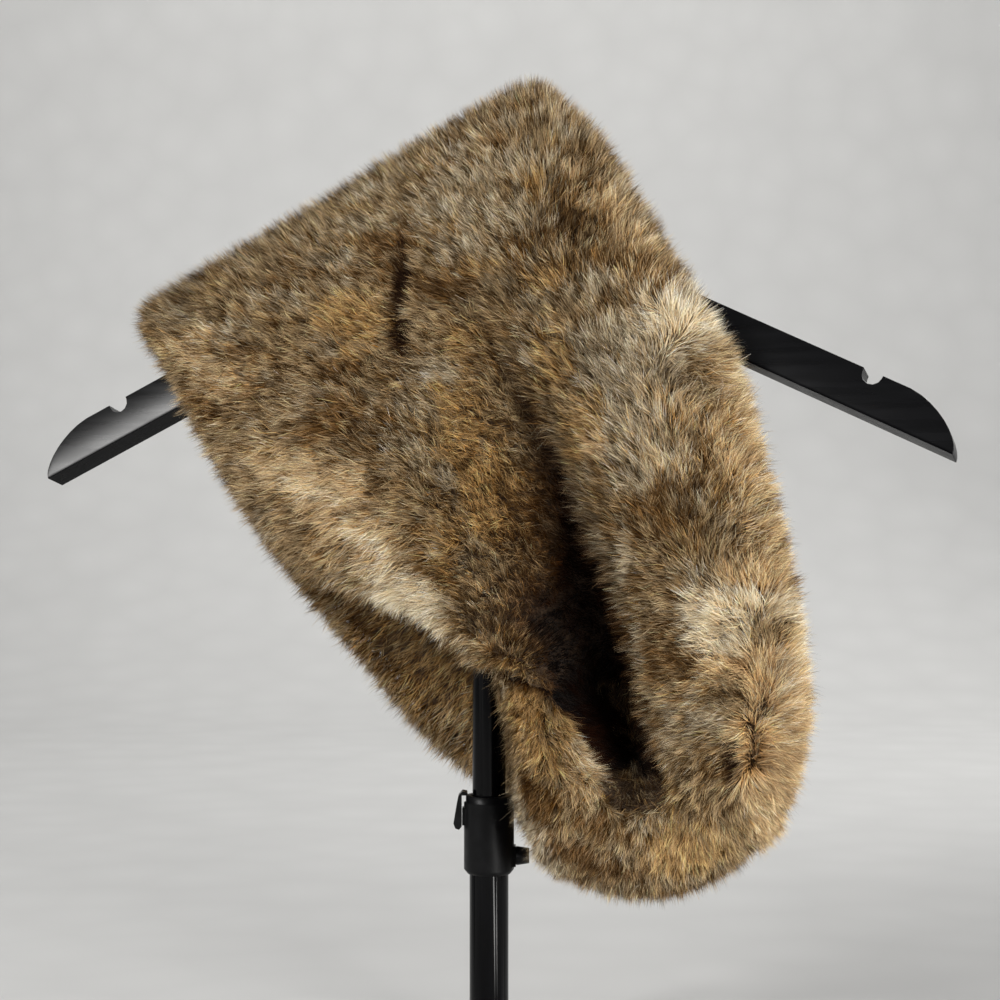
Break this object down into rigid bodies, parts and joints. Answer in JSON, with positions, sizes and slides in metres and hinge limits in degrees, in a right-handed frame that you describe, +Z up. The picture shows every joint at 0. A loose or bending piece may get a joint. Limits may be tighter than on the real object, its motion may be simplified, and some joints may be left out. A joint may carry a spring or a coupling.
{
  "type": "fur collar wrap on a hanger pole",
  "caption": "Looped fur collar wrap hung over one arm of a flat wooden hanger on a two-stage pole, its front fall folded into a deep pocket.",
  "frame": {"origin": "middle of the pole's lower end, where the rest of a stand would hold it", "axes": "+Z up along the pole, -Y towards the front, +X towards the viewer's right"},
  "size_m": [0.4282, 0.1826, 0.4605],
  "materials": {
    "fur": "long-pile imitation fur, brown and grey with dark tips",
    "painted_wood": "black satin paint",
    "coated_tube": "black gloss coating",
    "clamp_plastic": "black moulded satin"
  },
  "bodies": {
    "root": {"fur_top_fold": "fur", "fur_front_fall": "fur", "fur_bottom_turn": "fur", "fur_back_fall": "fur", "hanger_board": "painted_wood", "hanger_neck": "painted_wood", "pole_upper": "coated_tube", "pole_lower": "coated_tube", "pole_clamp": "clamp_plastic", "clamp_lever": "clamp_plastic", "clamp_knob": "clamp_plastic"}
  },
  "joints": []
}
